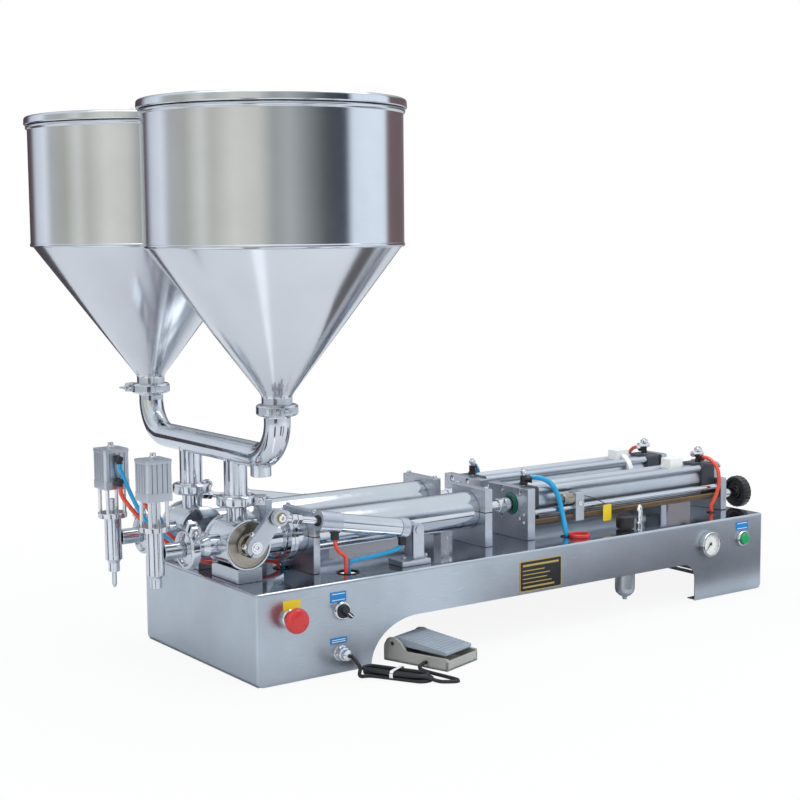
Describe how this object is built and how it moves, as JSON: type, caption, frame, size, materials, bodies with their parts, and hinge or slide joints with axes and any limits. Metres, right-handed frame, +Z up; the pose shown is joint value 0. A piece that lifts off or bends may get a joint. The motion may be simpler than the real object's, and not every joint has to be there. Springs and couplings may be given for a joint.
{
  "type": "piston paste filling machine",
  "caption": "Semi-automatic pneumatic piston paste filler with conical hoppers, rotary valves, shut-off nozzles, handwheel stroke stops and a foot pedal.",
  "frame": {"origin": "on the floor, under the middle of the whole machine, in the plane midway between the two filling lines", "axes": "+X from the nozzles towards the handwheels, +Y from the panel side to the far side, +Z up"},
  "size_m": [1.3069, 0.8166, 0.9183],
  "materials": {
    "brushed_stainless": "brushed",
    "polished_stainless": "polished",
    "anodised_aluminium": "satin anodised",
    "slate_end_cap": "satin",
    "bronze_screw": "dull",
    "black_plastic": "satin",
    "red_plastic": "gloss",
    "green_plastic": "gloss",
    "chrome": "bright",
    "blue_hose": "gloss",
    "black_rubber": "matt",
    "pedal_grey": "satin",
    "tread_blue_grey": "satin"
  },
  "bodies": {
    "base_frame": {"base_cabinet": "brushed_stainless", "valve_block_near": "anodised_aluminium", "valve_block_far": "anodised_aluminium", "valve_body_near": "polished_stainless", "valve_body_far": "polished_stainless", "nozzle_body_near": "polished_stainless", "nozzle_body_far": "polished_stainless", "nozzle_cylinder_near": "anodised_aluminium", "nozzle_cylinder_far": "anodised_aluminium", "feed_manifold": "polished_stainless", "hopper_near": "brushed_stainless", "hopper_far": "brushed_stainless", "clevis_bracket_near": "anodised_aluminium", "clevis_bracket_far": "anodised_aluminium", "metering_cylinder_near": "polished_stainless", "metering_cylinder_far": "polished_stainless", "front_bracket_near": "anodised_aluminium", "front_bracket_far": "anodised_aluminium", "rear_bracket_near": "anodised_aluminium", "rear_bracket_far": "anodised_aluminium", "mounting_plate_near": "anodised_aluminium", "mounting_plate_far": "anodised_aluminium", "air_cylinder_near": "slate_end_cap", "air_cylinder_far": "slate_end_cap", "guide_frame_near": "anodised_aluminium", "guide_frame_far": "anodised_aluminium", "gauge_case": "chrome", "cable_connector": "chrome", "filter_regulator": "pedal_grey", "air_lines": "blue_hose", "pedal_base": "pedal_grey", "pedal_cord_start": "black_rubber", "pedal_cord_end": "black_rubber", "cord_hank": "black_rubber"},
    "valve_near": {"valve_rotor_near": "brushed_stainless", "valve_lever_near": "polished_stainless"},
    "turning_cylinder_near": {"turning_cylinder_near": "brushed_stainless"},
    "turning_rod_near": {"turning_rod_near": "polished_stainless"},
    "piston_near": {"piston_rod_near": "polished_stainless"},
    "stop_near": {"stop_block_near": "anodised_aluminium"},
    "screw_near": {"adjusting_screw_near": "bronze_screw", "handwheel_near": "black_plastic"},
    "plunger_near": {"nozzle_plunger_near": "polished_stainless"},
    "lid_near": {"hopper_lid_near": "brushed_stainless"},
    "valve_far": {"valve_rotor_far": "brushed_stainless", "valve_lever_far": "polished_stainless"},
    "turning_cylinder_far": {"turning_cylinder_far": "brushed_stainless"},
    "turning_rod_far": {"turning_rod_far": "polished_stainless"},
    "piston_far": {"piston_rod_far": "polished_stainless"},
    "stop_far": {"stop_block_far": "anodised_aluminium"},
    "screw_far": {"adjusting_screw_far": "bronze_screw", "handwheel_far": "black_plastic"},
    "plunger_far": {"nozzle_plunger_far": "polished_stainless"},
    "lid_far": {"hopper_lid_far": "brushed_stainless"},
    "estop": {"estop_button": "red_plastic"},
    "selector": {"selector_knob": "black_plastic"},
    "start": {"start_button": "green_plastic"},
    "needle": {"gauge_needle": "black_plastic"},
    "regulator": {"regulator_knob": "black_plastic"},
    "tread": {"pedal_tread": "tread_blue_grey"}
  },
  "joints": [
    {"name": "valve_turn_near", "type": "hinge", "parent": "base_frame", "child": "valve_near", "pos_m": [-0.44975, -0.074, 0.205], "axis": [0, -1, 0], "range_deg": [0, 90]},
    {"name": "turning_cylinder_swing_near", "type": "hinge", "parent": "base_frame", "child": "turning_cylinder_near", "pos_m": [-0.15775, -0.1445, 0.202], "axis": [0, -1, 0], "range_deg": [0, 4]},
    {"name": "turning_rod_stroke_near", "type": "slide", "parent": "turning_cylinder_near", "child": "turning_rod_near", "axis": [-0.9832, 0, 0.1827], "range_m": [0, 0.08]},
    {"name": "piston_stroke_near", "type": "slide", "parent": "base_frame", "child": "piston_near", "axis": [1, 0, 0], "range_m": [-0.25, 0]},
    {"name": "stop_travel_near", "type": "slide", "parent": "base_frame", "child": "stop_near", "axis": [1, 0, 0], "range_m": [0, 0.3]},
    {"name": "handwheel_turn_near", "type": "hinge", "parent": "base_frame", "child": "screw_near", "pos_m": [0.10625, -0.112, 0.1755], "axis": [-1, 0, 0], "range_deg": [-90, 27090]},
    {"name": "nozzle_shutoff_near", "type": "slide", "parent": "base_frame", "child": "plunger_near", "axis": [0, 0, -1], "range_m": [0, 0.027]},
    {"name": "lid_lift_near", "type": "slide", "parent": "base_frame", "child": "lid_near", "axis": [0, 0, 1], "range_m": [0, 0.3]},
    {"name": "valve_turn_far", "type": "hinge", "parent": "base_frame", "child": "valve_far", "pos_m": [-0.44975, 0.074, 0.205], "axis": [0, -1, 0], "range_deg": [0, 90]},
    {"name": "turning_cylinder_swing_far", "type": "hinge", "parent": "base_frame", "child": "turning_cylinder_far", "pos_m": [-0.15775, 0.1445, 0.202], "axis": [0, -1, 0], "range_deg": [0, 4]},
    {"name": "turning_rod_stroke_far", "type": "slide", "parent": "turning_cylinder_far", "child": "turning_rod_far", "axis": [-0.9832, 0, 0.1827], "range_m": [0, 0.08]},
    {"name": "piston_stroke_far", "type": "slide", "parent": "base_frame", "child": "piston_far", "axis": [1, 0, 0], "range_m": [-0.25, 0]},
    {"name": "stop_travel_far", "type": "slide", "parent": "base_frame", "child": "stop_far", "axis": [1, 0, 0], "range_m": [0, 0.3]},
    {"name": "handwheel_turn_far", "type": "hinge", "parent": "base_frame", "child": "screw_far", "pos_m": [0.10625, 0.112, 0.1755], "axis": [-1, 0, 0], "range_deg": [-90, 27090]},
    {"name": "nozzle_shutoff_far", "type": "slide", "parent": "base_frame", "child": "plunger_far", "axis": [0, 0, -1], "range_m": [-0.027, 0]},
    {"name": "lid_lift_far", "type": "slide", "parent": "base_frame", "child": "lid_far", "axis": [0, 0, 1], "range_m": [0, 0.3]},
    {"name": "estop_press", "type": "slide", "parent": "base_frame", "child": "estop", "axis": [0, 1, 0], "range_m": [0, 0.004]},
    {"name": "selector_turn", "type": "hinge", "parent": "base_frame", "child": "selector", "pos_m": [-0.33035, -0.187, 0.0993], "axis": [0, -1, 0], "range_deg": [0, 90]},
    {"name": "start_press", "type": "slide", "parent": "base_frame", "child": "start", "axis": [0, 1, 0], "range_m": [0, 0.0025], "stiffness_N_per_m": 400},
    {"name": "gauge_sweep", "type": "hinge", "parent": "base_frame", "child": "needle", "pos_m": [0.48545, -0.187, 0.1032], "axis": [0, 1, 0], "range_deg": [0, 270]},
    {"name": "regulator_turn", "type": "hinge", "parent": "base_frame", "child": "regulator", "pos_m": [0.31425, -0.145, 0.145], "axis": [0, 0, 1], "range_deg": [-360, 360]},
    {"name": "pedal_press", "type": "hinge", "parent": "base_frame", "child": "tread", "pos_m": [-0.1914, -0.17211, 0.03], "axis": [0.9511, 0.309, 0], "range_deg": [0, 6], "stiffness_Nm_per_rad": 20, "springref_deg": -2.86}
  ],
  "couplings": [
    {"joint": "turning_cylinder_swing_near", "follows": "valve_turn_near", "ratio": 0.04273},
    {"joint": "turning_rod_stroke_near", "follows": "valve_turn_near", "m_per_rad": 0.05019},
    {"joint": "handwheel_turn_near", "follows": "stop_travel_near", "rad_per_m": 1570.8},
    {"joint": "turning_cylinder_swing_far", "follows": "valve_turn_far", "ratio": 0.04273},
    {"joint": "turning_rod_stroke_far", "follows": "valve_turn_far", "m_per_rad": 0.05019},
    {"joint": "handwheel_turn_far", "follows": "stop_travel_far", "rad_per_m": 1570.8}
  ]
}
